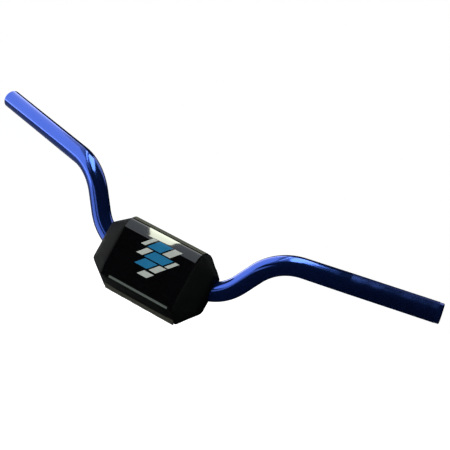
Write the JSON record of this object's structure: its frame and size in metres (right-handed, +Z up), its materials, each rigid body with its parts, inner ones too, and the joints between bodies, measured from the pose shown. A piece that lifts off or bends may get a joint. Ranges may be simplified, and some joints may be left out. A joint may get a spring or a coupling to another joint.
{
  "type": "motocross handlebar",
  "caption": "Bent anodised alloy handlebar tube of constant diameter with a thick black centre pad strapped over the clamp zone.",
  "frame": {"origin": "centre of the clamp zone, on the bar's axis, midway between the two grips", "axes": "+X along the clamp axis towards the grip on the right of the picture (the rider's left, clutch side), +Z up the rise of the bar, +Y back towards the rider, the way the grips sweep; the pad's printed face looks towards -Y"},
  "size_m": [0.6056, 0.0867, 0.1464],
  "materials": {
    "anodised_alloy": "bright blue anodised, polished",
    "foam": "closed-cell foam, black",
    "gloss_vinyl": "smooth glossy black vinyl",
    "matte_vinyl": "fine-grained matte black vinyl",
    "strap_web": "black webbing",
    "hook_tape": "hook tape, black",
    "loop_tape": "loop tape, black"
  },
  "bodies": {
    "root": {"handlebar_tube": "anodised_alloy", "foam_core": "foam", "front_panel": "gloss_vinyl", "top_panel": "matte_vinyl", "bottom_panel": "matte_vinyl", "left_side_panel": "matte_vinyl", "right_side_panel": "matte_vinyl", "bottom_hem": "matte_vinyl", "strap": "strap_web", "hook_patch": "hook_tape", "loop_patch": "loop_tape"}
  },
  "joints": []
}
